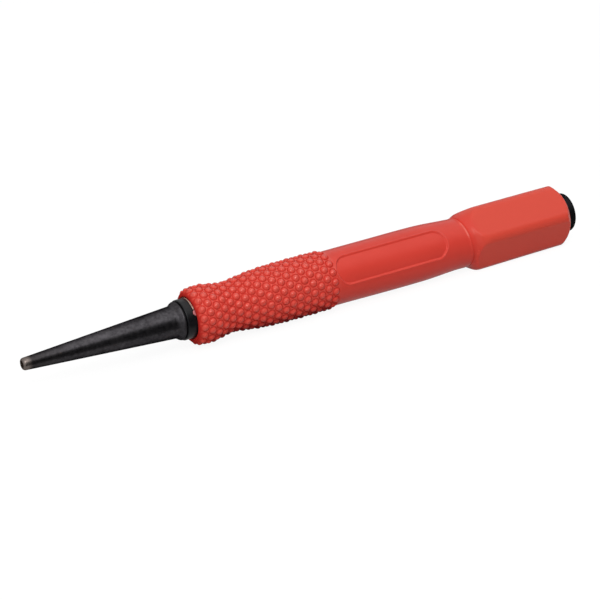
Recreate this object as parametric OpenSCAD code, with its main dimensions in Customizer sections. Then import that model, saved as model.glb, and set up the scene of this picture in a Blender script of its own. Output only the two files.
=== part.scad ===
// Nail setter: a turned steel punch with a cupped tip, a black ring and a soft five-sided grip.
// Lengths are in millimetres. The struck face is at the origin and the tip points along -X.
// The tool lies with one flat of the grip's rear block facing down.
// The grip's front carries small domed nubs: its outline here runs over their tops.

/* [Overall] */
// Length from the tip to the struck face
overall_len = 146; // [140:1:170]
// Diameter of the round bar, as left at the head
stock_d = 9.5; // [9.2:0.1:11]

/* [Punch] */
// Diameter at the tip
tip_d = 2.8; // [2.2:0.1:4.8]
// Rounding of the tip's outer edge
tip_round = 0.45; // [0.2:0.05:0.6]
// Diameter of the cup in the tip
cup_d = 1.5; // [0.8:0.1:1.8]
// Depth of the cup in the tip
cup_depth = 0.35; // [0.1:0.05:0.6]
// Length of the cone from the tip to the shoulder
nose_len = 37.3; // [32:0.1:42]
// How far the shoulder rises over the cone
shoulder_rise = 0.7; // [0.4:0.05:1.2]
// Length of the shoulder's fillet
shoulder_len = 1.2; // [0.8:0.1:2]
// Plain land behind the shoulder's fillet
shoulder_land = 0.25; // [0.1:0.05:0.6]
// How far the shoulder stays below the bar's surface
shoulder_drop = 0.25; // [0.1:0.05:0.5]
// How far the shank inside the grip is turned down below the bar's surface
shank_drop = 0.2; // [0.1:0.05:0.4]
// How far the collar's seat is turned down below the shank
seat_drop = 0.65; // [0.4:0.05:1]
// Number of anchor grooves round the shank
groove_count = 6; // [1:1:10]
// Width of one anchor groove
groove_w = 3; // [1:0.1:5]
// Depth of one anchor groove
groove_depth = 0.4; // [0.2:0.05:0.8]
// Length of the head that stands out of the grip
head_len = 2.7; // [2:0.1:5]
// Chamfer round the struck face
head_chamfer = 0.4; // [0.2:0.05:0.8]

/* [Front collar] */
// Gap between the shoulder and the collar
collar_gap = 0.3; // [0.1:0.05:0.6]
// Wall of the collar
collar_wall = 0.8; // [0.6:0.05:1]
// Length of the collar that shows in front of the grip
collar_show = 2.3; // [1.8:0.1:4]
// Length of the collar tucked inside the grip
collar_tuck = 2.6; // [1.6:0.1:4]
// Chamfer of the collar's front edge
collar_chamfer = 0.15; // [0.05:0.05:0.3]
// Width of the key notch in the collar
notch_w = 1.3; // [0.8:0.1:2]
// Length of the key notch that shows in front of the grip
notch_show = 0.8; // [0.5:0.1:1.2]
// Length of the key notch inside the grip
notch_tuck = 0.6; // [0.3:0.1:1.2]
// Depth of the key notch
notch_depth = 0.4; // [0.2:0.05:0.6]

/* [Grip outline] */
// Flat land between the collar and the rounding of the grip's front
rim_land = 0.25; // [0.1:0.05:0.5]
// Length of the rounding at the grip's front
front_round = 1; // [0.6:0.1:1.6]
// Wall of the grip behind its front rounding
front_wall = 1.75; // [1.4:0.05:2]
// Wall of the grip at the swell near the front, over its nubs
swell_wall = 2.15; // [1.9:0.05:2.5]
// Wall of the grip at the waist behind the swell, over its nubs
waist_wall = 1.35; // [1.1:0.05:1.7]
// Wall of the grip at the crown of its belly, over its nubs
belly_wall = 2.55; // [2.3:0.05:2.8]
// How far both ends of the belly stay below its crown
belly_drop = 0.15; // [0.05:0.05:0.3]
// Wall of the grip along the smooth barrel
barrel_wall = 1.95; // [1.7:0.05:2.2]
// Wall of the grip at the neck in front of the rear block
neck_wall = 1.5; // [1.2:0.05:1.65]

/* [Panel] */
// Width of the sunken panel
panel_w = 6.3; // [4:0.1:8]
// How far each bowed end of the panel bulges
panel_bow = 2.25; // [1:0.05:3]
// Depth of the sunken panel
panel_depth = 0.4; // [0.2:0.05:0.6]

/* [Rear block] */
// Wall of the rear block under its flats
flat_wall = 1.85; // [1.7:0.05:2.4]
// Wall of the rear block under its long edges
edge_wall = 3.05; // [2.7:0.05:3.2]
// Radius of the ball that rounds the block's front edges
flare_ball_r = 9.2; // [8.6:0.1:10.5]
// Wall at the back of the grip
back_wall = 1.9; // [1.6:0.05:2.4]
// Radius of the ball that rounds the block's back edges
back_ball_r = 8.5; // [8:0.1:10.5]

/* [Hidden] */

// Facets of round surfaces, and steps along a curved stretch of an outline
round_fn = 96;
arc_steps = 6;
blend_steps = 5;

// One overrun for every cut
overrun = 1;

// Radii of the steel, all taken from the bar
shank_r = stock_d / 2 - shank_drop;
seat_r = shank_r - seat_drop;
shoulder_r = stock_d / 2 - shoulder_drop;
nose_base_r = shoulder_r - shoulder_rise;

// Radii of the collar and the grip, all taken from the steel inside them
collar_r = seat_r + collar_wall;
rim_r = collar_r + rim_land;
neck_r = shank_r + neck_wall;
flat_dist = shank_r + flat_wall;

// Places along the tool, measured from the tip
shoulder_end = nose_len + shoulder_len + shoulder_land;
collar_front = shoulder_end + collar_gap;
grip_front = collar_front + collar_show;
collar_end = grip_front + collar_tuck;
grip_back = overall_len - head_len;
grip_len = grip_back - grip_front;

// Places along the grip as shares of its length
swell_share = 0.04;
waist_share = 0.1;
belly_start_share = 0.21;
belly_crown_share = 0.262;
belly_end_share = 0.33;
barrel_share = 0.356;
neck_start_share = 0.59;
neck_end_share = 0.695;
block_share = 0.722;
panel_start_share = 0.36;
panel_end_share = 0.656;

// Directions round the axis, counted from straight down towards +Y
panel_angle = -122.5;
notch_angle = -121;

// Sides of the rear block
block_sides = 5;

function along(share) = grip_front + grip_len * share;

// Points of an S-shaped stretch from a to b, without b
function blend(a, b) =
    [for (i = [0:blend_steps - 1])
        let (t = i / blend_steps)
        [a[0] + (b[0] - a[0]) * (1 - cos(180 * t)) / 2, a[1] + (b[1] - a[1]) * t]];

// Points of a quarter of an ellipse round centre c, from angle a0 to a1
function arc(c, rx, ry, a0, a1) =
    [for (i = [0:arc_steps])
        let (a = a0 + (a1 - a0) * i / arc_steps)
        [c[0] + rx * cos(a), c[1] + ry * sin(a)]];

// Outline of the grip in front of the rear block, as radius and place along the axis
swell = [shank_r + swell_wall, along(swell_share)];
waist = [shank_r + waist_wall, along(waist_share)];
belly_start = [shank_r + belly_wall - belly_drop, along(belly_start_share)];
belly_crown = [shank_r + belly_wall, along(belly_crown_share)];
belly_end = [shank_r + belly_wall - belly_drop, along(belly_end_share)];
barrel_start = [shank_r + barrel_wall, along(barrel_share)];
barrel_end = [shank_r + barrel_wall, along(neck_start_share)];
neck_start = [neck_r, along(neck_end_share)];
neck_end = [neck_r, along(block_share) + overrun];
grip_line = concat(
    arc([rim_r, grip_front + front_round], shank_r + front_wall - rim_r, front_round, -90, 0),
    blend(swell, waist),
    blend(waist, belly_start),
    [belly_start, belly_crown],
    blend(belly_end, barrel_start),
    [barrel_start],
    blend(barrel_end, neck_start),
    [neck_start, neck_end]);

// Outline of the shank inside the grip, with its anchor grooves
shank_len = grip_back - collar_end;
groove_step = shank_len / (groove_count + 1);
shank_line = concat(
    [[shank_r, collar_end]],
    [for (i = [1:groove_count])
        let (mid = collar_end + groove_step * i)
        each [
            [shank_r, mid - groove_w / 2],
            [shank_r - groove_depth, mid - groove_w / 2],
            [shank_r - groove_depth, mid + groove_w / 2],
            [shank_r, mid + groove_w / 2]]]);

// Turns a tool standing on its tip into the lying tool
module laid() {
    translate([-overall_len, 0, 0]) rotate([0, 90, 0]) children();
}

// A shape turned about the axis from an outline of radius and place
module turned(points) {
    rotate_extrude($fn = round_fn) polygon(points);
}

// Holds a flat outline out from the axis at a given angle; its Y runs along the tool
module radial(angle, height) {
    rotate([0, 0, angle]) rotate([90, 0, 90]) linear_extrude(height) children();
}

// Turned steel punch
module punch() {
    cone_slope = (nose_base_r - tip_d / 2) / nose_len;
    edge_r = tip_d / 2 + cone_slope * tip_round;
    cup_r = (pow(cup_d / 2, 2) + pow(cup_depth, 2)) / 2 / cup_depth;
    color("#2b2b2d") laid() difference() {
        turned(concat(
            [[0, 0]],
            arc([edge_r - tip_round, tip_round], tip_round, tip_round, -90, 0),
            arc([nose_base_r, nose_len + shoulder_len], shoulder_rise, shoulder_len, -90, 0),
            [[shoulder_r, shoulder_end],
             [seat_r, shoulder_end],
             [seat_r, collar_end]],
            shank_line,
            [[shank_r, grip_back],
             [stock_d / 2, grip_back],
             [stock_d / 2, overall_len - head_chamfer],
             [stock_d / 2 - head_chamfer, overall_len],
             [0, overall_len]]));
        translate([0, 0, cup_depth - cup_r]) sphere(cup_r, $fn = round_fn);
    }
}

// The key notch's space: its flat outline held out from the axis
module notchSpace() {
    radial(notch_angle, stock_d) {
        translate([-notch_w / 2, grip_front - notch_show + notch_w / 2])
            square([notch_w, notch_show + notch_tuck - notch_w / 2]);
        translate([0, grip_front - notch_show + notch_w / 2]) circle(d = notch_w, $fn = round_fn);
    }
}

// Black ring in front of the grip
module frontCollar() {
    color("#1c1c1e") laid() difference() {
        turned([
            [seat_r, collar_front],
            [collar_r - collar_chamfer, collar_front],
            [collar_r, collar_front + collar_chamfer],
            [collar_r, collar_end],
            [seat_r, collar_end]]);
        difference() {
            notchSpace();
            translate([0, 0, collar_front]) cylinder(r = collar_r - notch_depth,
                h = collar_end - collar_front, $fn = round_fn);
        }
    }
}

// The tab of the grip that fills the collar's key notch
module keyTab() {
    floor_r = collar_r - notch_depth;
    intersection() {
        notchSpace();
        turned([
            [floor_r, collar_front],
            [collar_r, collar_front],
            [collar_r, grip_front],
            [rim_r, grip_front + front_round],
            [rim_r, collar_end],
            [floor_r, collar_end]]);
    }
}

// Front part of the grip, from its rim to the neck
module gripFront() {
    turned(concat([[0, grip_front]], grip_line, [[0, neck_end[1]]]));
}

// Rear block: a five-sided bar with its long edges turned off and both ends rounded by a ball
module rearBlock() {
    block_front = along(block_share);
    block_len = grip_back - block_front;
    edge_r = shank_r + edge_wall;
    front_mid = block_front + sqrt(pow(flare_ball_r, 2) - pow(neck_r, 2));
    back_mid = grip_back - sqrt(pow(back_ball_r, 2) - pow(shank_r + back_wall, 2));
    intersection() {
        translate([0, 0, block_front]) rotate([0, 0, 180 / block_sides])
            cylinder(r = flat_dist / cos(180 / block_sides), h = block_len, $fn = block_sides);
        translate([0, 0, block_front]) cylinder(r = edge_r, h = block_len, $fn = round_fn);
        union() {
            translate([0, 0, front_mid]) sphere(flare_ball_r, $fn = round_fn);
            translate([0, 0, front_mid])
                cylinder(r = (edge_r + back_ball_r) / 2, h = back_mid - front_mid, $fn = round_fn);
            translate([0, 0, back_mid]) sphere(back_ball_r, $fn = round_fn);
        }
    }
}

// Space of the sunken panel, between its floor and the outside
module panelSpace() {
    first = along(panel_start_share);
    last = along(panel_end_share);
    bow_r = (pow(panel_w / 2, 2) + pow(panel_bow, 2)) / 2 / panel_bow;
    difference() {
        radial(panel_angle, stock_d) intersection() {
            translate([-panel_w / 2, first]) square([panel_w, last - first]);
            union() {
                translate([-panel_w / 2, first + panel_bow]) square([panel_w, last - first - 2 * panel_bow]);
                translate([0, first + bow_r]) circle(bow_r, $fn = round_fn);
                translate([0, last - bow_r]) circle(bow_r, $fn = round_fn);
            }
        }
        turned(concat(
            [[0, grip_front]],
            [for (p = grip_line) [p[0] - panel_depth, p[1]]],
            [[0, neck_end[1]]]));
    }
}

// Red soft sleeve
module gripSleeve() {
    color("#d2493f") laid() union() {
        difference() {
            union() {
                gripFront();
                rearBlock();
            }
            panelSpace();
            turned(concat(
                [[0, grip_front - overrun],
                 [collar_r, grip_front - overrun],
                 [collar_r, collar_end]],
                shank_line,
                [[shank_r, grip_back + overrun],
                 [0, grip_back + overrun]]));
        }
        keyTab();
    }
}

punch();
frontCollar();  // front_collar
gripSleeve();  // grip_sleeve
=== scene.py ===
# Nail setter lying on a pale table: dark steel punch, black ring, nubbed red grip.
import math
import bpy
from mathutils import Matrix, Vector


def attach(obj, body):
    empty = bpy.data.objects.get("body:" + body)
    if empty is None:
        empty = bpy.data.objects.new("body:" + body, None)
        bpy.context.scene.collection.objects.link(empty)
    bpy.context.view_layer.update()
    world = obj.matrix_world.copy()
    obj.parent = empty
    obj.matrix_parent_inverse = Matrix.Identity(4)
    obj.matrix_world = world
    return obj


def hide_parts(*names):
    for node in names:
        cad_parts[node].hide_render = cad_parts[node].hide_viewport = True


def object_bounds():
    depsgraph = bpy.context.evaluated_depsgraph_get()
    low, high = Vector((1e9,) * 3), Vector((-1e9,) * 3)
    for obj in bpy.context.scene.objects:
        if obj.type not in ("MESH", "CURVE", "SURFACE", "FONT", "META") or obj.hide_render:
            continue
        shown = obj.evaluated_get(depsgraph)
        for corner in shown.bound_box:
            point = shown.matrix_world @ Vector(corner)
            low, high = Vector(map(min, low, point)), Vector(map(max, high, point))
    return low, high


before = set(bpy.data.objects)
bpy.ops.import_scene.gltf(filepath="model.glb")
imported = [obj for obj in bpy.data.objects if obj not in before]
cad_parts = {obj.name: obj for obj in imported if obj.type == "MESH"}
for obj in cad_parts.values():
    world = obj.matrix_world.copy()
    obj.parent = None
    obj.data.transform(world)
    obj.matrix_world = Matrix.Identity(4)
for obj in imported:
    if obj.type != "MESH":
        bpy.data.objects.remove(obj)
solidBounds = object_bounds()
print("frame loaded, solids:", len(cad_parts))

mm = 0.001
toolLength = solidBounds[1].x - solidBounds[0].x
tipX = solidBounds[0].x            # the tip is the model's lowest X, the struck face its highest


# Shapes made round the tool's axis

def placeX(place):
    # X in metres of a place given in mm from the tip
    return tipX + place * mm


def pointAt(place, radius, angle):
    # angle in degrees round the axis: 0 faces the camera's side, 90 is straight up
    turn = math.radians(angle)
    return (placeX(place), -radius * mm * math.cos(turn), radius * mm * math.sin(turn))


def angleFrom(middle, angle):
    # degrees from one angle round to another, between -180 and 180
    return (angle - middle + 180) % 360 - 180


def smoothStep(low, high, value):
    share = min(max((value - low) / (high - low), 0.0), 1.0)
    return share * share * (3 - 2 * share)


def bell(distance, width):
    # 1 in the middle, fading to nothing within about two widths
    return math.exp(-(distance / width) ** 2)


def softMin(a, b, width):
    # the smaller of two radii, rounded where they meet
    share = min(max(0.5 + 0.5 * (b - a) / width, 0.0), 1.0)
    return b + (a - b) * share - width * share * (1 - share)


def curveThrough(stations, place):
    # a smooth curve through (place, radius) stations, with no overshoot
    if place <= stations[0][0]:
        return stations[0][1]
    for k in range(len(stations) - 1):
        if place <= stations[k + 1][0]:
            break
    else:
        return stations[-1][1]

    def slope(i):
        if i <= 0 or i >= len(stations) - 1:
            return 0.0
        before = (stations[i][1] - stations[i - 1][1]) / (stations[i][0] - stations[i - 1][0])
        after = (stations[i + 1][1] - stations[i][1]) / (stations[i + 1][0] - stations[i][0])
        if before * after <= 0:
            return 0.0
        return 2 * before * after / (before + after)

    (x0, y0), (x1, y1) = stations[k], stations[k + 1]
    span = x1 - x0
    t = (place - x0) / span
    return ((2 * t**3 - 3 * t**2 + 1) * y0 + (t**3 - 2 * t**2 + t) * span * slope(k)
            + (3 * t**2 - 2 * t**3) * y1 + (t**3 - t**2) * span * slope(k + 1))


def arcPoints(place, radius, reach, rise, fromAngle, toAngle, steps):
    # (place, radius) points of a part of an ellipse
    points = []
    for i in range(steps + 1):
        turn = math.radians(fromAngle + (toAngle - fromAngle) * i / steps)
        points.append((place + reach * math.cos(turn), radius + rise * math.sin(turn)))
    return points


def spaced(start, end, step):
    # evenly spaced places from start up to, but without, end
    count = max(1, math.ceil((end - start) / step - 1e-6))
    return [start + (end - start) * i / count for i in range(count)]


def addObject(name, data):
    made = bpy.data.objects.new(name, data)
    bpy.context.scene.collection.objects.link(made)
    return made


def ringMesh(name, rows, columns, closedLoop=True, capStart=None, capEnd=None):
    # a skin over rows of ring points; a closed loop joins the last row to the first
    vertices = [p for row in rows for p in row]
    faces = []
    last = len(rows) if closedLoop else len(rows) - 1
    for j in range(last):
        a, b = j * columns, ((j + 1) % len(rows)) * columns
        for i in range(columns):
            n = (i + 1) % columns
            faces.append((a + i, b + i, b + n, a + n))
    if capStart:
        vertices.append(capStart)
        centre = len(vertices) - 1
        faces += [(centre, i, (i + 1) % columns) for i in range(columns)]
    if capEnd:
        vertices.append(capEnd)
        centre, base = len(vertices) - 1, (len(rows) - 1) * columns
        faces += [(centre, base + (i + 1) % columns, base + i) for i in range(columns)]
    mesh = bpy.data.meshes.new(name)
    mesh.from_pydata(vertices, [], faces)
    mesh.polygons.foreach_set("use_smooth", [True] * len(mesh.polygons))
    mesh.update()
    return addObject(name, mesh)


# Steel punch: places and sizes in mm, places from the tip

punchSizes = {
    "length": toolLength / mm + 0.2,
    "tipRadius": 1.40, "tipRound": 0.68, "cupRadius": 0.84, "cupDepth": 0.36, "cupEdge": 0.06,
    # the tip's rim is slightly battered: how many dents round it, their height and their start
    "dents": [(3, 0.025, 0.7), (7, 0.015, 2.1)], "dentSpread": 0.6, "dentsFade": (0.4, 3.0),
    "noseLength": 37.25, "noseBaseRadius": 3.79,
    "shoulderLength": 1.3, "shoulderRadius": 4.5, "shoulderEnd": 38.75, "shoulderEdge": 0.12,
    "shoulderStraight": 0.35,                   # share of its swell that rises in a straight line
    "seatRadius": 3.9, "seatEnd": 43.95, "shankRadius": 4.55,
    "headFrom": 143.3, "headRadius": 4.75, "headEdge": 0.4, "headCrown": 0.02,
    "columns": 128,
}


def punchOutline():
    z = punchSizes
    slope = (z["noseBaseRadius"] - z["tipRadius"]) / z["noseLength"]
    line = []
    bowlSteps = 6
    for i in range(1, bowlSteps + 1):           # the cup's bowl, from its middle out
        share = i / bowlSteps
        line.append((z["cupDepth"] * (1 - share**2), z["cupRadius"] * share))
    edgeRadius = z["tipRadius"] + slope * z["tipRound"]
    rimRadius = z["cupRadius"] + z["cupEdge"]
    line += arcPoints(z["tipRound"], rimRadius, z["tipRound"], edgeRadius - rimRadius, 180, 96, 10)
    for place in spaced(z["tipRound"] + 0.15, z["noseLength"], 0.6):
        line.append((place, z["tipRadius"] + slope * place))
    # the shoulder swells up from the cone: first hollow, then round
    low, high, straight = z["noseBaseRadius"], z["shoulderRadius"], z["shoulderStraight"]
    shoulderSteps = 12
    for i in range(shoulderSteps + 1):
        share = i / shoulderSteps
        rise = straight * share + (1 - straight) * smoothStep(0, 1, share)
        line.append((z["noseLength"] + z["shoulderLength"] * share, low + (high - low) * rise))
    edge, end = z["shoulderEdge"], z["shoulderEnd"]
    line += arcPoints(end - edge, high - edge, edge, edge, 90, 0, 4)
    # points close to each hidden corner keep it sharp
    seat, seatEnd, shank = z["seatRadius"], z["seatEnd"], z["shankRadius"]
    head, headFrom, headEdge = z["headRadius"], z["headFrom"], z["headEdge"]
    line += [(end, seat + 0.1), (end, seat), (end + 0.1, seat),
             (seatEnd - 0.05, seat), (seatEnd, seat), (seatEnd, shank), (seatEnd + 0.15, shank),
             (headFrom - 0.2, shank), (headFrom - 0.02, shank),
             (headFrom - 0.02, head), (headFrom + 0.05, head)]
    for place in spaced(headFrom + 0.3, z["length"] - headEdge - 0.1, 0.4):
        line.append((place, head))
    line += arcPoints(z["length"] - headEdge, head - headEdge, headEdge, headEdge, 90, 12, 8)
    for share in (0.9, 0.7, 0.45, 0.2):         # the struck face, from its edge in
        line.append((z["length"] - z["headCrown"] * share, (head - headEdge) * share))
    return line


def rimDent(place, angle):
    z = punchSizes
    if place >= z["dentsFade"][1]:
        return 0.0
    turn = math.radians(angle)
    dent = sum(height * math.sin(count * turn + start) for count, height, start in z["dents"])
    return dent * (1 - smoothStep(*z["dentsFade"], place))


def buildPunch():
    z = punchSizes
    rows = []
    for place, radius in punchOutline():
        row = []
        for i in range(z["columns"]):
            angle = 360 * i / z["columns"]
            dent = rimDent(place, angle)
            row.append(pointAt(place + max(dent, 0) * z["dentSpread"], radius + dent, angle))
        rows.append(row)
    piece = ringMesh("punchBar", rows, z["columns"], closedLoop=False,
                     capStart=pointAt(z["cupDepth"], 0, 0), capEnd=pointAt(z["length"], 0, 0))
    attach(piece, "root")
    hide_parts("punch")
    return piece


# Black front ring

ringSizes = {
    "front": 39.08, "back": 43.95, "innerRadius": 3.9, "radius": 4.72, "edge": 0.2,
    "notchAngle": 32.0, "notchWidth": 1.6, "notchFrom": 40.82, "notchTo": 42.2, "notchDepth": 0.4,
    "notchWall": 0.06,                          # half the width that the notch's wall takes
    "fineRowsTo": 42.3, "fineStep": 0.06,       # rows stand close together up to behind the notch
    "columns": 288,
}


def notchShare(place, angle):
    # 1 inside the key notch, 0 outside it, with soft walls
    z = ringSizes
    side = math.radians(angleFrom(z["notchAngle"], angle)) * z["radius"]
    half = z["notchWidth"] / 2
    middle = z["notchFrom"] + half
    if place < middle:
        distance = math.hypot(side, place - middle) - half
    else:
        distance = max(abs(side) - half, place - z["notchTo"])
    return 1 - smoothStep(-z["notchWall"], z["notchWall"], distance)


def buildRing():
    z = ringSizes
    columns, front, back, edge = z["columns"], z["front"], z["back"], z["edge"]
    inner, outer = z["innerRadius"], z["radius"]
    # points close to each corner keep it sharp
    outline = [(front, inner), (front, inner + 0.3)]
    outline += arcPoints(front + edge, outer - edge, edge, edge, 180, 90, 5)
    for place in spaced(front + edge + 0.1, z["fineRowsTo"], z["fineStep"]):
        outline.append((place, outer))
    outline += [(z["fineRowsTo"] + 0.3, outer), (back - 0.05, outer), (back, outer),
                (back, inner), (back - 0.1, inner), (front + 0.1, inner)]
    rows = []
    for place, radius in outline:
        row = []
        for i in range(columns):
            angle = 360 * i / columns
            cut = notchShare(place, angle) * z["notchDepth"] if radius > outer - 0.01 else 0
            row.append(pointAt(place, radius - cut, angle))
        rows.append(row)
    piece = ringMesh("frontRing", rows, columns)
    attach(piece, "root")
    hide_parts("front_collar")
    return piece


# Red soft grip

gripSizes = {
    "rim": (41.3, 4.72),                        # where the grip meets the ring
    "recessWidth": 0.24, "recessDepth": 0.55,   # dark line between the ring and the grip
    # the front face, mm behind the rim and mm out from the recess, and the rounding outside it
    "frontFace": [(0.12, 0.0), (0.03, 0.03), (0.0, 0.1)], "frontLength": 1.05, "frontOut": 0.16,
    "nubsRise": (0.4, 1.0),                     # mm behind the rim, where the first nubs come up
    # radius under the nubs and along the smooth part, by place from the tip
    "stations": [(42.35, 6.16), (43.4, 6.37), (45.4, 6.42), (47.2, 6.21), (49.3, 5.74),
                 (51.4, 5.56), (53.4, 5.71), (56.0, 6.05), (59.5, 6.42), (64.0, 6.62),
                 (70.0, 6.68), (74.5, 6.65), (78.0, 6.53), (90.0, 6.60), (98.0, 6.64),
                 (103.0, 6.61), (106.5, 6.48), (110.0, 6.26), (113.0, 6.12), (114.0, 6.10)],
    "nubsTo": 79.0, "neckTo": 113.0, "blockFrom": 114.0,
    # how far the grip's middle stands off the axis towards upAngle, by place
    "skew": [(80.0, 0.0), (92.0, -0.06), (106.0, -0.08), (112.0, -0.14), (114.4, -0.23),
             (116.2, -0.03), (118.0, -0.02), (143.3, 0.14)],
    "upAngle": 113.0,                           # the angle that points up in the picture
    "boreRadius": 4.55, "boreFrom": 43.9,       # the bar's shank fills it behind the ring
    "back": 143.3, "backRing": 5.4,             # and a ring of points halfway over the back face
    "backEdge": [(0.07, 0.015), (0.02, 0.06), (0.0, 0.13)],     # mm ahead of the back, mm in
    # rows up to a place, and the step between them
    "rowSteps": [(81.0, 0.115), (105.2, 0.55), (109.0, 0.12), (114.0, 0.35), (117.6, 0.08),
                 (139.5, 0.8), (143.18, 0.11)],
    "columns": 432,
}
nubSizes = {
    "firstRing": 42.42, "pitch": 1.905, "rings": 19, "perRing": 18, "firstAngle": 11.8,
    "radius": 0.97, "height": 0.51, "dome": 1.1, "moat": 0.04, "web": 1.13, "webHeight": 0.07,
    "websFadeIn": (-0.6, 0.4), "websFadeOut": (-0.2, 1.0),      # mm from the first and last ring
}
panelSizes = {
    "from": 78.0, "to": 108.2, "middleAngle": 30.9, "width": 6.78, "frontBow": 2.9, "backBow": 2.4,
    "depth": 0.38, "wall": 0.3, "lip": 0.07, "lipPlace": 0.22, "lipWidth": 0.16,
}
blockSizes = {
    "sides": 5, "turn": -5.0,                   # degrees that the block is turned from lying flat
    "crease": 114.8, "creaseLean": 0.5,         # the crease leans forward over the top
    "creaseDepth": 0.05, "creaseWidth": 0.16,
    # a fine lip ahead of the crease, highest at lipAngle and gone on the underside
    "lipHeight": 0.13, "lipAhead": 0.25, "lipAngle": 80.0,
    "flatFront": 6.76, "flatBack": 6.64, "cornerRadius": 2.3,
    # radius of the flare that leads up to the flats: steep on the lower side, gentle on the upper
    "steepFlare": [(115.3, 6.10), (115.7, 6.20), (116.0, 6.38), (116.5, 6.90), (117.0, 7.40),
                   (117.5, 7.72), (118.2, 7.95), (120.0, 8.3)],
    "gentleFlare": [(114.2, 6.09), (114.5, 6.17), (115.0, 6.37), (115.5, 6.54), (116.0, 6.67),
                    (117.0, 6.95), (118.0, 7.27), (120.0, 7.8), (122.0, 8.2)],
    "backRadius": 6.6, "backTopDrop": 0.32, "backSlope": 0.9, "edgeRound": 0.2,
}


def upShare(angle):
    # 1 where the grip faces up in the picture, -1 where it faces down
    return math.cos(math.radians(angle - gripSizes["upAngle"]))


def nubDistance(place, angle, radius):
    # mm from the middle of the nearest nub
    z = nubSizes
    ring = round((place - z["firstRing"]) / z["pitch"])
    nearest = 9.0                               # farther than any nub reaches
    step = 360 / z["perRing"]
    for k in (ring - 1, ring, ring + 1):
        if not 0 <= k < z["rings"]:
            continue
        along = place - (z["firstRing"] + z["pitch"] * k)
        offset = z["firstAngle"] + (step / 2 if k % 2 else 0)
        turn = (angle - offset + step / 2) % step - step / 2
        nearest = min(nearest, math.hypot(along, math.radians(turn) * radius))
    return nearest


def nubHeight(place, angle, radius):
    # height over the grip's base: a dome, a shallow moat round it, and webs between moats
    z = nubSizes
    nearest = nubDistance(place, angle, radius)
    if nearest < z["radius"]:
        dome = (1 - (nearest / z["radius"])**2)**z["dome"]
        return dome * (z["height"] + z["moat"]) - z["moat"]
    # the webs stand only where there are nubs on both sides
    behindFirst = place - z["firstRing"]
    behindLast = behindFirst - z["pitch"] * (z["rings"] - 1)
    zone = smoothStep(*z["websFadeIn"], behindFirst)
    zone *= 1 - smoothStep(*z["websFadeOut"], behindLast)
    rise = smoothStep(z["radius"], z["web"], nearest)
    return (z["moat"] + z["webHeight"] * zone) * rise - z["moat"]


def panelDrop(place, angle, radius):
    # depth of the sunken panel, with a low lip just outside its wall
    z = panelSizes
    turn = math.radians(angleFrom(z["middleAngle"], angle))
    side = math.sin(turn) * radius
    half = z["width"] / 2
    if not z["from"] - 1 < place < z["to"] + 1 or abs(side) > half + 1 or math.cos(turn) < 0:
        return 0.0
    distance = abs(side) - half
    for bow, ahead in ((z["frontBow"], place - z["from"]), (z["backBow"], z["to"] - place)):
        if ahead < bow:
            bowRadius = (half**2 + bow**2) / (2 * bow)
            distance = max(distance, math.hypot(side, ahead - bowRadius) - bowRadius)
    drop = z["depth"] * (1 - smoothStep(-z["wall"] / 2, z["wall"] / 2, distance))
    return drop - z["lip"] * bell(distance - z["lipPlace"], z["lipWidth"])


def creasePlace(angle):
    return blockSizes["crease"] - blockSizes["creaseLean"] * upShare(angle)


def blockRadius(place, angle):
    # radius of the five-sided block: flats, rounded long edges, ball-rounded ends
    z = blockSizes
    crease, back = creasePlace(angle), gripSizes["back"]
    share = (place - crease) / (back - crease)
    flat = z["flatFront"] + (z["flatBack"] - z["flatFront"]) * share
    half = math.pi / z["sides"]
    corner = z["cornerRadius"]
    centre = (flat - corner) / math.cos(half)
    step = 360 / z["sides"]
    turn = math.radians((angle - z["turn"] + 90 + step / 2) % step) - half
    if flat * abs(math.tan(turn)) <= centre * math.sin(half):
        radius = flat / math.cos(turn)
    else:
        off = half - abs(turn)
        radius = centre * math.cos(off) + math.sqrt(max(corner**2 - (centre * math.sin(off))**2, 0))
    upper = 0.5 + 0.5 * upShare(angle)
    if place < z["gentleFlare"][-1][0]:
        flare = (curveThrough(z["gentleFlare"], place) * upper
                 + curveThrough(z["steepFlare"], place) * (1 - upper))
        radius = softMin(radius, flare, z["edgeRound"])
    backRadius = z["backRadius"] - z["backTopDrop"] * upper + z["backSlope"] * (back - place)
    return softMin(radius, backRadius, z["edgeRound"])


def gripRadius(place, angle):
    z = blockSizes
    base = curveThrough(gripSizes["stations"], place)
    if place < gripSizes["nubsTo"]:
        return base + nubHeight(place, angle, base) - panelDrop(place, angle, base)
    skew = curveThrough(gripSizes["skew"], place) * upShare(angle)
    if place < gripSizes["neckTo"]:
        return base + skew - panelDrop(place, angle, base)
    behind = place - creasePlace(angle)
    lip = z["lipHeight"] * (0.5 + 0.5 * math.cos(math.radians(angle - z["lipAngle"])))
    edge = (lip * bell(behind + z["lipAhead"], z["creaseWidth"])
            - z["creaseDepth"] * bell(behind, z["creaseWidth"]))
    return (base if place < gripSizes["blockFrom"] else blockRadius(place, angle)) + skew + edge


# Where the grip is shiny, and where shade and highlights are painted into its colour, for its
# finish to read

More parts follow.
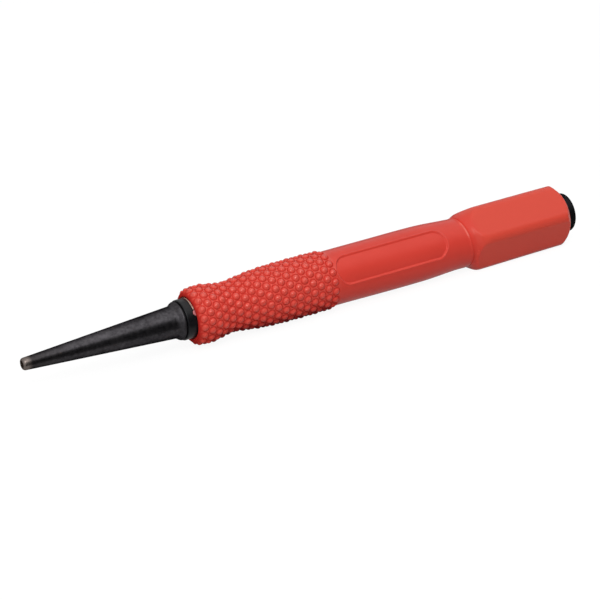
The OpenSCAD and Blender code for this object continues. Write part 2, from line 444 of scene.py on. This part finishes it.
shineAndPaintedLightSizes = {
    "polishAngle": 75.0, "polishFade": (70.0, 112.0),   # degrees: nubs are shiny on the upper side
    "dullLevel": 0.4, "polish": 1.35,
    "flank": (-0.85, -0.35), "flankLoss": 0.4,          # mm from a nub's edge; polish lost there
    "footIn": (-0.5, -0.2), "footOut": (0.0, 0.2), "footLoss": 0.95,
    # painted shade: the moats round the nubs, the foot of the front face and the crease
    "moatPlace": -0.03, "moatWidth": 0.17, "moatShare": 0.85, "moatLevel": 0.95,
    "nubsFade": (77.6, 78.4), "frontFade": 0.9,
    "creaseLevel": 0.5, "creaseBehind": 0.15, "creaseWidth": 0.3, "creaseTo": 117.0,
    # a painted highlight on the lip before the crease, between these angles
    "highlightIn": (22.0, 34.0), "highlightOut": (62.0, 80.0), "highlightLevel": 0.8, "highlightWidth": 0.2,
    # painted shade on the belly's underside: degrees from straight down, then mm from the tip
    "undersideShadeFade": (26.0, 66.0), "undersideShadeFront": (43.0, 49.0), "undersideShadeBack": (74.0, 79.0),
}


def gripCavity(place, angle):
    # 1 deep in the moats round the nubs and at the foot of the front face, where painted shade
    #     # darkens the colour, 0 where the grip is open, -1 on the shiny tops of the nubs
    z = shineAndPaintedLightSizes
    cavity = 0.0
    if place < gripSizes["nubsTo"]:
        base = curveThrough(gripSizes["stations"], place)
        away = nubDistance(place, angle, base) - nubSizes["radius"]
        shiny = 1 - smoothStep(*z["polishFade"], abs(angleFrom(z["polishAngle"], angle)))
        flank = z["flankLoss"] * smoothStep(*z["flank"], away)
        foot = z["footLoss"] * smoothStep(*z["footIn"], away)
        foot *= 1 - smoothStep(*z["footOut"], away)
        moat = z["moatShare"] * bell(away - z["moatPlace"], z["moatWidth"])
        level = z["dullLevel"] - shiny * (z["polish"] - flank - foot)
        cavity = level * (1 - moat) + z["moatLevel"] * moat
        cavity *= 1 - smoothStep(*z["nubsFade"], place)
    rimPlace = gripSizes["rim"][0]
    front = 1 - smoothStep(rimPlace, rimPlace + z["frontFade"], place)
    cavity = cavity * (1 - front) + front
    # painted shade in the crease before the block
    if gripSizes["neckTo"] < place < z["creaseTo"]:
        behind = place - creasePlace(angle)
        cavity = max(cavity, z["creaseLevel"] * bell(behind - z["creaseBehind"], z["creaseWidth"]))
    return cavity


def gripPaintedLight(place, angle):
    # above 0 where a highlight is painted on the lip before the crease, below 0 where shade is
    # painted on the belly's underside
    z = shineAndPaintedLightSizes
    if gripSizes["neckTo"] < place < z["creaseTo"]:
        # painted highlight on the lip, only over the lit upper side
        paleHighlight = z["highlightLevel"] * smoothStep(*z["highlightIn"], angle)
        paleHighlight *= 1 - smoothStep(*z["highlightOut"], angle)
        ahead = creasePlace(angle) - place
        return paleHighlight * bell(ahead - blockSizes["lipAhead"], z["highlightWidth"])
    if place > gripSizes["nubsTo"]:
        return 0.0
    # painted shade on the belly's underside, where the table's shadow falls
    undersideShade = 1 - smoothStep(*z["undersideShadeFade"], abs(angleFrom(-90, angle)))
    return -undersideShade * (1 - smoothStep(*z["undersideShadeBack"], place)) * smoothStep(*z["undersideShadeFront"], place)


def buildGrip():
    z = gripSizes
    columns = z["columns"]
    angles = [360 * i / columns for i in range(columns)]
    rows, cavities, paintedLights = [], [], []

    def addRow(place, radiusAt):
        # radiusAt: one radius for the whole row, or a function of the angle
        if isinstance(radiusAt, float):
            rows.append([pointAt(place, radiusAt, angle) for angle in angles])
        else:
            rows.append([pointAt(place, radiusAt(angle), angle) for angle in angles])
        cavities.extend(gripCavity(place, angle) for angle in angles)
        paintedLights.extend(gripPaintedLight(place, angle) for angle in angles)

    rimPlace, rimRadius = z["rim"]
    recessEnd = rimPlace + z["recessDepth"]
    lipRadius = rimRadius + z["recessWidth"]
    addRow(z["boreFrom"], rimRadius)
    addRow(recessEnd + 0.1, rimRadius)
    addRow(recessEnd, rimRadius)
    addRow(recessEnd, lipRadius)
    for behind, out in z["frontFace"]:
        addRow(rimPlace + behind, lipRadius + out)
    faceRadius = lipRadius + z["frontOut"]
    for place, radius in arcPoints(rimPlace + z["frontLength"], faceRadius, z["frontLength"],
                                   z["stations"][0][1] - faceRadius, 180, 98, 12):
        lift = smoothStep(*z["nubsRise"], place - rimPlace)
        addRow(place, lambda a: radius + lift * max(nubHeight(place, a, radius), 0))
    # nubs, barrel, neck and block
    start = rimPlace + z["frontLength"]
    for end, step in z["rowSteps"]:
        for place in spaced(start, end, step):
            addRow(place, lambda a: gripRadius(place, a))
        start = end
    # the back edge, the back face down to the bar, and the bore
    back, bore = z["back"], z["boreRadius"]
    for ahead, inset in z["backEdge"]:
        addRow(back - ahead, lambda a: gripRadius(back, a) - inset)
    for place, radius in ((back, z["backRing"]), (back, bore + 0.2), (back - 0.03, bore),
                          (back - 0.3, bore), (z["boreFrom"] + 0.3, bore), (z["boreFrom"], bore)):
        addRow(place, radius)
    piece = ringMesh("softGrip", rows, columns)
    for name, values in (("cavity", cavities), ("paintedLight", paintedLights)):
        piece.data.attributes.new(name, "FLOAT", "POINT").data.foreach_set("value", values)
    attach(piece, "root")
    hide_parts("grip_sleeve")
    return piece


# Thin pale rim between the ring and the grip, over the upper side alone: a painted highlight along
# the grip's lit front edge

edgeHighlightSizes = {
    "place": 41.22, "width": 0.34, "radius": 4.72, "height": 0.15, "from": 40.0, "to": 118.0,
    # shares: it starts small, is soon full, and thins out towards its far end
    "startSize": 0.1, "fullFrom": 0.05, "thinsFrom": 0.15, "endSize": 0.25,
    "steps": 90, "columns": 10,
}


def buildEdgeHighlight():
    z = edgeHighlightSizes
    rows = []
    for i in range(z["steps"] + 1):
        share = i / z["steps"]
        angle = z["from"] + (z["to"] - z["from"]) * share
        swell = z["endSize"] + (1 - z["endSize"]) * (1 - smoothStep(z["thinsFrom"], 1.0, share))
        swell *= z["startSize"] + (1 - z["startSize"]) * smoothStep(0.0, z["fullFrom"], share)
        row = []
        for k in range(z["columns"]):
            turn = 2 * math.pi * k / z["columns"]
            row.append(pointAt(z["place"] + z["width"] / 2 * swell * math.cos(turn),
                               z["radius"] + z["height"] * swell * math.sin(turn), angle))
        rows.append(row)
    piece = ringMesh("gripEdgeHighlight", rows, z["columns"], closedLoop=False,
                     capStart=pointAt(z["place"], z["radius"], z["from"]),
                     capEnd=pointAt(z["place"], z["radius"], z["to"]))
    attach(piece, "root")
    return piece


# Small tab of the grip that fills the ring's notch

keyTabSizes = {
    "gap": 0.05,                                # mm between the tab and the notch's wall
    "topEdge": [(0.12, 0.0), (0.03, 0.06), (0.0, 0.16)],        # its rounding: mm down, mm in
    "roundSteps": 16,
}


def buildKeyTab():
    z = ringSizes
    half = z["notchWidth"] / 2
    middle = z["notchFrom"] + half
    roundSteps = keyTabSizes["roundSteps"]
    rows = []
    for drop, inset in [(z["notchDepth"], 0.0)] + keyTabSizes["topEdge"]:
        reach = half - keyTabSizes["gap"] - inset
        outline = []                            # half a circle, then straight back
        for i in range(roundSteps + 1):
            turn = math.pi * i / roundSteps
            outline.append((middle - reach * math.sin(turn), reach * math.cos(turn)))
        outline += [(middle + 0.4, -reach), (z["notchTo"], -reach),
                    (z["notchTo"], reach), (middle + 0.4, reach)]
        outline.reverse()
        rows.append([pointAt(place, z["radius"] - drop,
                             z["notchAngle"] + math.degrees(side / z["radius"]))
                     for place, side in outline])
    capPlace = (z["notchFrom"] + z["notchTo"]) / 2
    piece = ringMesh("gripKeyTab", rows, len(rows[0]), closedLoop=False,
                     capStart=pointAt(capPlace, z["radius"] - z["notchDepth"], z["notchAngle"]),
                     capEnd=pointAt(capPlace, z["radius"], z["notchAngle"]))
    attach(piece, "root")
    return piece


punchBar = buildPunch()
frontRing = buildRing()
print("steel and ring made")
softGrip = buildGrip()
keyTab = buildKeyTab()
# a pale strip that paints the highlight along the grip's front edge
edgeHighlight = buildEdgeHighlight()
print("grip made, vertices:", len(softGrip.data.vertices))


# Finishes

def newFinish(name):
    material = bpy.data.materials.new(name)
    material.use_nodes = True
    nodes = material.node_tree.nodes
    return material, nodes, material.node_tree.links, nodes["Principled BSDF"]


def scaledPlace(nodes, links, scale=(1, 1, 1)):
    # the piece's own coordinates in metres, closer together where the scale is higher
    coordinates = nodes.new("ShaderNodeTexCoord")
    mapping = nodes.new("ShaderNodeMapping")
    mapping.inputs["Scale"].default_value = scale
    links.new(coordinates.outputs["Object"], mapping.inputs["Vector"])
    return mapping.outputs["Vector"]


def splitVector(nodes, links, vector):
    node = nodes.new("ShaderNodeSeparateXYZ")
    links.new(vector, node.inputs[0])
    return node.outputs


def pointValue(nodes, name):
    # a value that was stored on the mesh's points
    node = nodes.new("ShaderNodeAttribute")
    node.attribute_name = name
    return node.outputs["Fac"]


def noiseNode(nodes, links, vector, scale, detail, roughness=0.55):
    node = nodes.new("ShaderNodeTexNoise")
    node.inputs["Scale"].default_value = scale
    node.inputs["Detail"].default_value = detail
    node.inputs["Roughness"].default_value = roughness
    links.new(vector, node.inputs["Vector"])
    return node.outputs["Fac"]


def rampNode(nodes, links, value, low, lowColor, high, highColor):
    node = nodes.new("ShaderNodeValToRGB")
    for element, place, color in zip(node.color_ramp.elements, (low, high), (lowColor, highColor)):
        element.position = place
        element.color = (*color, 1)
    links.new(value, node.inputs["Fac"])
    return node.outputs["Color"]


def rangeNode(nodes, links, value, fromLow, fromHigh, toLow, toHigh):
    # a value between fromLow and fromHigh becomes one between toLow and toHigh, and no further
    node = nodes.new("ShaderNodeMapRange")
    numbers = {"From Min": fromLow, "From Max": fromHigh, "To Min": toLow, "To Max": toHigh}
    for key, number in numbers.items():
        node.inputs[key].default_value = number
    links.new(value, node.inputs["Value"])
    return node.outputs["Result"]


def placeShare(nodes, links, x, places, most=1.0):
    # 0 up to the first place, in mm from the tip, rising to most at the second
    return rangeNode(nodes, links, x, placeX(places[0]), placeX(places[1]), 0.0, most)


def mixColors(nodes, links, share, first, second):
    node = nodes.new("ShaderNodeMix")
    node.data_type = "RGBA"
    links.new(share, node.inputs[0])
    for socket, value in ((6, first), (7, second)):
        if isinstance(value, tuple):
            node.inputs[socket].default_value = (*value, 1)
        else:
            links.new(value, node.inputs[socket])
    return node.outputs[2]


def mathNode(nodes, links, operation, first, second):
    node = nodes.new("ShaderNodeMath")
    node.operation = operation
    links.new(first, node.inputs[0])
    if isinstance(second, float):
        node.inputs[1].default_value = second
    else:
        links.new(second, node.inputs[1])
    return node.outputs[0]


def bumpNode(nodes, links, height, strength, depth):
    # depth in mm
    node = nodes.new("ShaderNodeBump")
    node.inputs["Strength"].default_value = strength
    node.inputs["Distance"].default_value = depth * mm
    links.new(height, node.inputs["Height"])
    return node.outputs["Normal"]


noiseLow, noiseHigh = 0.3, 0.7                  # noise seldom goes past these


gripLook = {
    "nubTone": (0.672, 0.070, 0.050),           # the nubbed part is a little paler
    "darkTone": (0.62, 0.048, 0.033), "lightTone": (0.66, 0.055, 0.039),
    "blockTone": (0.655, 0.065, 0.041),         # and the block a little more orange
    "smoothFrom": (75.0, 79.0), "blockFrom": (115.5, 118.0),    # where these tones change
    "ridgeTone": (0.76, 0.080, 0.064), "ridge": 0.6, "ridgeRange": (0.50, 0.60),
    # painted shade in the hollows
    "hollowShadeTone": (0.44, 0.012, 0.010), "hollowShade": 0.8, "hollowShadeRange": (0.4, 1.0),
    # painted highlight on the lip before the crease
    "paleHighlightTone": (0.80, 0.19, 0.15), "paleHighlight": 0.8,
    # painted shade under the belly
    "undersideShadeTone": (0.13, 0.003, 0.007), "undersideShade": 0.85,
    # painted shade where the smooth part's surface turns away at the outline
    "outlineShadeTone": (0.20, 0.020, 0.022), "outline": 0.6, "outlineRange": (0.80, 0.98),
    "roughness": (0.29, 0.37), "polish": -0.10, "polishRange": (-0.9, 0.0),
    "specularRange": (-0.9, 0.5),               # full shine on the nubs, none down in the hollows
    "ior": 1.37, "specularTint": (1.0, 0.72, 0.65),
    "blotchScale": 90, "grainScale": 2600, "grain": 0.18, "grainDepth": 0.06,
}


def softGripFinish():
    z = gripLook
    material, nodes, links, shader = newFinish("softGripRed")
    vector = scaledPlace(nodes, links)
    x = splitVector(nodes, links, vector)[0]
    blotch = noiseNode(nodes, links, vector, z["blotchScale"], 3)
    fine = noiseNode(nodes, links, vector, z["grainScale"], 4, 0.6)
    tone = rampNode(nodes, links, blotch, noiseLow, z["darkTone"], noiseHigh, z["lightTone"])
    smooth = placeShare(nodes, links, x, z["smoothFrom"])
    tone = mixColors(nodes, links, smooth, z["nubTone"], tone)
    block = placeShare(nodes, links, x, z["blockFrom"])
    tone = mixColors(nodes, links, block, tone, z["blockTone"])
    pointiness = nodes.new("ShaderNodeNewGeometry").outputs["Pointiness"]
    ridge = rangeNode(nodes, links, pointiness, *z["ridgeRange"], 0.0, z["ridge"])
    tone = mixColors(nodes, links, ridge, tone, z["ridgeTone"])
    cavity = pointValue(nodes, "cavity")
    # painted shade in the moats, at the foot of the front face and in the crease
    hollowShade = rangeNode(nodes, links, cavity, *z["hollowShadeRange"], 0.0, z["hollowShade"])
    tone = mixColors(nodes, links, hollowShade, tone, z["hollowShadeTone"])
    # painted light on the points: a painted highlight above 0, painted shade below 0
    paintedLight = pointValue(nodes, "paintedLight")
    # painted highlight on the lip before the crease
    paleHighlight = rangeNode(nodes, links, paintedLight, 0.0, 1.0, 0.0, z["paleHighlight"])
    tone = mixColors(nodes, links, paleHighlight, tone, z["paleHighlightTone"])
    # painted shade on the belly's underside
    undersideShade = rangeNode(nodes, links, paintedLight, 0.0, -1.0, 0.0, z["undersideShade"])
    tone = mixColors(nodes, links, undersideShade, tone, z["undersideShadeTone"])
    # painted shade along the smooth part's outline
    facing = nodes.new("ShaderNodeLayerWeight")
    facing.inputs["Blend"].default_value = 0.5
    away = rangeNode(nodes, links, facing.outputs["Facing"], *z["outlineRange"], 0.0, z["outline"])
    away = mathNode(nodes, links, "MULTIPLY", away, smooth)
    tone = mixColors(nodes, links, away, tone, z["outlineShadeTone"])
    links.new(tone, shader.inputs["Base Color"])
    gloss = rangeNode(nodes, links, fine, noiseLow, noiseHigh, *z["roughness"])
    polish = rangeNode(nodes, links, cavity, *z["polishRange"], z["polish"], 0.0)
    links.new(mathNode(nodes, links, "ADD", gloss, polish), shader.inputs["Roughness"])
    shader.inputs["IOR"].default_value = z["ior"]
    shader.inputs["Specular Tint"].default_value = (*z["specularTint"], 1)
    level = rangeNode(nodes, links, cavity, *z["specularRange"], 1.0, 0.0)
    links.new(level, shader.inputs["Specular IOR Level"])
    links.new(bumpNode(nodes, links, fine, z["grain"], z["grainDepth"]), shader.inputs["Normal"])
    return material


def grainedFinish(name, look, darkTone, lightTone, detail):
    # a fine grain in the tone, the gloss and the surface
    material, nodes, links, shader = newFinish(name)
    fine = noiseNode(nodes, links, scaledPlace(nodes, links), look["grainScale"], detail)
    tone = rampNode(nodes, links, fine, noiseLow, darkTone, noiseHigh, lightTone)
    links.new(tone, shader.inputs["Base Color"])
    gloss = rangeNode(nodes, links, fine, noiseLow, noiseHigh, *look["roughness"])
    links.new(gloss, shader.inputs["Roughness"])
    bump = bumpNode(nodes, links, fine, look["grain"], look["grainDepth"])
    links.new(bump, shader.inputs["Normal"])
    return material, shader


ringLook = {
    "darkTone": (0.003, 0.003, 0.004), "lightTone": (0.007, 0.007, 0.008),
    "roughness": (0.30, 0.40), "ior": 1.38, "specular": 0.3,
    "grainScale": 1800, "grain": 0.25, "grainDepth": 0.05,
}


def ringFinish():
    z = ringLook
    material, shader = grainedFinish("ringBlack", z, z["darkTone"], z["lightTone"], 4)
    shader.inputs["IOR"].default_value = z["ior"]
    shader.inputs["Specular IOR Level"].default_value = z["specular"]
    return material


paleLook = {
    "roughness": (0.35, 0.5), "grainScale": 1500, "grain": 0.2, "grainDepth": 0.05,
    "tabTones": ((0.46, 0.12, 0.13), (0.58, 0.19, 0.20)),
    # the pale strip's tones paint the highlight on the grip's front edge
    "edgeHighlightTones": ((0.40, 0.20, 0.15), (0.60, 0.37, 0.29)),
}


def paleTabAndHighlightFinish(name, tones):
    # thin, stretched plastic that has gone pale, for the tab; for the rim by the ring, a pale strip
    # that paints the highlight on the grip's front edge
    return grainedFinish(name, paleLook, *tones, 3)[0]


steelLook = {
    "darkTone": (0.030, 0.028, 0.031), "lightTone": (0.068, 0.064, 0.069),
    "cloudScale": 210, "cloudGrain": 1300, "mottle": (0.36, 0.64),
    "rustTone": (0.085, 0.060, 0.048), "rust": 0.5, "rustRange": (0.64, 0.74), "fleckScale": 900,
    "scratchTone": (0.13, 0.13, 0.135), "scratches": 0.5, "scratchRange": (0.66, 0.74),
    "dullTone": (0.022, 0.019, 0.017), "dull": 0.45, "dullFrom": (12.0, 2.0),       # near the tip
    "bareTone": (0.170, 0.142, 0.129), "bareFrom": (1.4, 0.4), "ragged": 0.0012,    # worn rim
    # painted shade inside the cup
    "cupShadeTone": (0.014, 0.008, 0.005), "cupShade": 0.95, "cupShadeRadii": (0.95, 0.70),     # in the cup
    "headTone": (0.010, 0.0095, 0.011), "coat": 0.85, "coatFrom": (142.0, 143.2),   # black coat
    "roughness": (0.29, 0.39), "filletFrom": (36.6, 37.4), "filletRoughness": 0.2,
    "specularTint": (0.3, 0.3, 0.3), "grain": 0.22, "grainDepth": 0.05, "fleckDepth": 0.6,
    "turningMarks": (4200, 260, 260),           # close together along the tool, long round it
    "handlingMarks": (60, 900, 900),            # long along the tool
}


def steelFinish():
    z = steelLook
    material, nodes, links, shader = newFinish("punchDarkSteel")
    plain = scaledPlace(nodes, links)
    x, y, height = splitVector(nodes, links, plain)
    turned = noiseNode(nodes, links, scaledPlace(nodes, links, z["turningMarks"]), 1.0, 3)
    streaks = noiseNode(nodes, links, scaledPlace(nodes, links, z["handlingMarks"]), 1.0, 4)
    cloud = noiseNode(nodes, links, plain, z["cloudScale"], 4)
    fleck = noiseNode(nodes, links, plain, z["fleckScale"], 3, 0.7)
    grain = noiseNode(nodes, links, plain, z["cloudGrain"], 2, 0.6)
    mottle = mathNode(nodes, links, "ADD", cloud, grain)
    mottle = mathNode(nodes, links, "MULTIPLY", mottle, 0.5)
    low, high = z["mottle"]
    tone = rampNode(nodes, links, mottle, low, z["darkTone"], high, z["lightTone"])
    rust = rangeNode(nodes, links, fleck, *z["rustRange"], 0.0, z["rust"])
    tone = mixColors(nodes, links, rust, tone, z["rustTone"])
    scratch = rangeNode(nodes, links, streaks, *z["scratchRange"], 0.0, z["scratches"])
    tone = mixColors(nodes, links, scratch, tone, z["scratchTone"])
    dull = placeShare(nodes, links, x, z["dullFrom"], z["dull"])
    tone = mixColors(nodes, links, dull, tone, z["dullTone"])
    # bare worn metal round the tip, with a ragged edge
    ragged = mathNode(nodes, links, "MULTIPLY", cloud, z["ragged"])
    bare = placeShare(nodes, links, mathNode(nodes, links, "SUBTRACT", x, ragged), z["bareFrom"])
    tone = mixColors(nodes, links, bare, tone, z["bareTone"])
    # painted shade in the cup, by the distance from the axis
    centred = nodes.new("ShaderNodeCombineXYZ")
    links.new(y, centred.inputs[1])
    links.new(height, centred.inputs[2])
    reach = nodes.new("ShaderNodeVectorMath")
    reach.operation = "LENGTH"
    links.new(centred.outputs[0], reach.inputs[0])
    outer, inner = z["cupShadeRadii"]
    cupShade = rangeNode(nodes, links, reach.outputs["Value"], outer * mm, inner * mm, 0.0, z["cupShade"])
    tone = mixColors(nodes, links, cupShade, tone, z["cupShadeTone"])
    # the struck end kept its black coat
    coat = placeShare(nodes, links, x, z["coatFrom"], z["coat"])
    tone = mixColors(nodes, links, coat, tone, z["headTone"])
    links.new(tone, shader.inputs["Base Color"])
    shader.inputs["Metallic"].default_value = 1.0
    shader.inputs["Specular Tint"].default_value = (*z["specularTint"], 1)
    # the shoulder's fillet is left rougher
    rough = rangeNode(nodes, links, turned, noiseLow, noiseHigh, *z["roughness"])
    fillet = placeShare(nodes, links, x, z["filletFrom"], z["filletRoughness"])
    links.new(mathNode(nodes, links, "ADD", rough, fillet), shader.inputs["Roughness"])
    relief = mathNode(nodes, links, "MULTIPLY", fleck, z["fleckDepth"])
    relief = mathNode(nodes, links, "ADD", turned, relief)
    links.new(bumpNode(nodes, links, relief, z["grain"], z["grainDepth"]), shader.inputs["Normal"])
    return material


finishes = (
    (punchBar, steelFinish()),
    (frontRing, ringFinish()),
    (softGrip, softGripFinish()),
    (keyTab, paleTabAndHighlightFinish("palePink", paleLook["tabTones"])),
    (edgeHighlight, paleTabAndHighlightFinish("paleCream", paleLook["edgeHighlightTones"])),
)
for piece, finish in finishes:
    piece.data.materials.clear()
    piece.data.materials.append(finish)
print("finishes made")


# Table, lights and camera

floorSizes = {
    "bellyPlace": 69.1, "bellyDrop": 7.195,     # the tool rests on its belly's nubs
    "heelPlace": 117.6, "heelDrop": 7.045,      # and on the front of the block
    "halfWidth": 4.0,                           # metres
    "tone": 0.50, "roughness": 0.9, "specular": 0.1,
    # how far the camera and mirroring surfaces see the table as plain white light
    "seenGlow": 0.78, "mirroredGlow": 0.37, "glow": 1.19,
}


def floorHeight(x):
    z = floorSizes
    slope = (z["bellyDrop"] - z["heelDrop"]) / (z["heelPlace"] - z["bellyPlace"])
    return -z["bellyDrop"] * mm + (x - placeX(z["bellyPlace"])) * slope


def addBoard(name, corners, finishName, tone, roughness, specular):
    # a flat four-cornered board of one plain finish
    mesh = bpy.data.meshes.new(name)
    mesh.from_pydata(corners, [], [(0, 1, 2, 3)])
    material, nodes, links, shader = newFinish(finishName)
    shader.inputs["Base Color"].default_value = (tone, tone, tone, 1)
    shader.inputs["Roughness"].default_value = roughness
    shader.inputs["Specular IOR Level"].default_value = specular
    mesh.materials.append(material)
    return addObject(name, mesh), nodes, links, shader


def seenRays(nodes, links):
    # 1 for what the camera sees, also through clear things
    path = nodes.new("ShaderNodeLightPath")
    seen = mathNode(nodes, links, "MAXIMUM", path.outputs["Is Camera Ray"],
                    path.outputs["Is Transmission Ray"])
    return seen, path.outputs["Is Glossy Ray"]


def buildFloor():
    z = floorSizes
    half = z["halfWidth"]
    corners = [(x, y, floorHeight(x)) for x, y in ((-half, -half), (half, -half),
                                                   (half, half), (-half, half))]
    floor, nodes, links, shader = addBoard("tableTop", corners, "tablePale",
                                           z["tone"], z["roughness"], z["specular"])
    seen, mirrored = seenRays(nodes, links)
    seen = mathNode(nodes, links, "MULTIPLY", seen, z["seenGlow"])
    mirrored = mathNode(nodes, links, "MULTIPLY", mirrored, z["mirroredGlow"])
    glow = nodes.new("ShaderNodeEmission")
    glow.inputs["Strength"].default_value = z["glow"]
    mix = nodes.new("ShaderNodeMixShader")
    links.new(mathNode(nodes, links, "MAXIMUM", seen, mirrored), mix.inputs[0])
    links.new(shader.outputs[0], mix.inputs[1])
    links.new(glow.outputs[0], mix.inputs[2])
    links.new(mix.outputs[0], nodes["Material Output"].inputs["Surface"])


# dark and grey cards round the tool: they aren't seen themselves, but the steel mirrors them.
# Each runs between two edges, in metres beside the axis and over it; None lies on the table
cardEnds = (-1.0, 1.6)                          # metres along the tool, from the tip
cards = {
    "frontCard": {"from": (-0.70, -0.01), "to": (-0.70, 0.56), "tone": 0.06, "shadesFloor": True},
    "lowCard": {"from": (-0.70, None), "to": (-0.013, None), "tone": 0.13, "shadesFloor": False},
    "backCard": {"from": (0.80, 0.0), "to": (0.80, 0.25), "tone": 0.30, "shadesFloor": True},
}


def addCard(name, sizes):
    left, right = (tipX + end for end in cardEnds)
    corners = []
    for x, (y, height) in ((left, sizes["from"]), (right, sizes["from"]),
                           (right, sizes["to"]), (left, sizes["to"])):
        corners.append((x, y, floorHeight(x) + mm if height is None else height))
    card = addBoard(name, corners, name + "Cloth", sizes["tone"], 1.0, 0.0)[0]
    card.visible_camera = False
    card.visible_shadow = False
    card.visible_diffuse = sizes["shadesFloor"]


worldLook = {"light": 0.37, "seen": 0.95}       # strength on the tool, and where it is seen


def buildWorld():
    world = bpy.data.worlds.new("studioWorld")
    bpy.context.scene.world = world
    world.use_nodes = True
    nodes, links = world.node_tree.nodes, world.node_tree.links
    background = nodes["Background"]
    background.inputs["Color"].default_value = (1, 1, 1, 1)
    seen = mathNode(nodes, links, "MAXIMUM", *seenRays(nodes, links))
    strength = rangeNode(nodes, links, seen, 0, 1, worldLook["light"], worldLook["seen"])
    links.new(strength, background.inputs["Strength"])


# angle: degrees over the horizon seen along the tool, from the camera's side over the top;
# slide, distance, width and height in metres
softboxes = {
    "topSoftbox": {"angle": 73, "slide": 0.1, "distance": 0.8,
                   "width": 1.7, "height": 0.85, "glow": 0.85},
    "keySoftbox": {"angle": 46, "slide": -0.25, "distance": 0.8,
                   "width": 0.31, "height": 0.31, "glow": 9.9},
    "fillSoftbox": {"angle": 14, "slide": -0.65, "distance": 0.7,
                    "width": 0.5, "height": 0.36, "glow": 2.7},
}


def addSoftbox(name, box):
    middle = Vector((tipX + toolLength / 2, 0, 0))
    turn = math.radians(box["angle"])
    place = middle + Vector((box["slide"], -box["distance"] * math.cos(turn),
                             box["distance"] * math.sin(turn)))
    data = bpy.data.lights.new(name, "AREA")
    data.shape = "RECTANGLE"
    data.size, data.size_y = box["width"], box["height"]
    data.energy = box["glow"] * math.pi * box["width"] * box["height"]
    light = addObject(name, data)
    light.location = place
    light.rotation_mode = "QUATERNION"
    light.rotation_quaternion = (middle - place).to_track_quat("-Z", "Y")


# The camera was found by fitting the tool's outline in the photo
cameraSizes = {
    "imageSide": 600, "focalPixels": 2544.0, "sensorWidth": 36.0,
    "sightAngle": 23.0,      # degrees above the horizon, seen along the tool
    "slant": 26.494,         # degrees between the view and a square-on look at the tool
    "distance": 527.0,       # mm from the axis
    "foot": -192.8,          # mm from the tip: where the camera stands beside the axis
    "roll": 15.71,           # degrees that the tool rises to the right
    "lift": 13.07,           # pixels that the axis lies above the picture's middle
    "clip": (0.01, 50),      # metres
}


def buildCamera():
    z = cameraSizes
    slant, sight, roll = (math.radians(z[k]) for k in ("slant", "sightAngle", "roll"))
    along = Vector((1, 0, 0))
    outward = Vector((0, -math.cos(sight), math.sin(sight)))
    view = along * math.sin(slant) - outward * math.cos(slant)
    across = along * math.cos(slant) + outward * math.sin(slant)
    upward = Vector((0, math.sin(sight), math.cos(sight)))
    dip = math.atan(z["lift"] / z["focalPixels"])
    view, upward = (view * math.cos(dip) - upward * math.sin(dip),
                    upward * math.cos(dip) + view * math.sin(dip))
    right = across * math.cos(roll) - upward * math.sin(roll)
    up = across * math.sin(roll) + upward * math.cos(roll)
    stand = Vector((placeX(z["foot"]), 0, 0)) + outward * z["distance"] * mm
    data = bpy.data.cameras.new("photoCamera")
    data.sensor_width = z["sensorWidth"]
    data.lens = z["focalPixels"] * data.sensor_width / z["imageSide"]
    data.clip_start, data.clip_end = z["clip"]
    camera = addObject("photoCamera", data)
    camera.matrix_world = Matrix((
        (right.x, up.x, -view.x, stand.x),
        (right.y, up.y, -view.y, stand.y),
        (right.z, up.z, -view.z, stand.z),
        (0, 0, 0, 1)))
    bpy.context.scene.camera = camera


buildFloor()
buildWorld()
for name, box in softboxes.items():
    addSoftbox(name, box)
for name, card in cards.items():
    addCard(name, card)
buildCamera()
print("studio made")

scene = bpy.context.scene
scene.view_settings.view_transform = "Standard"
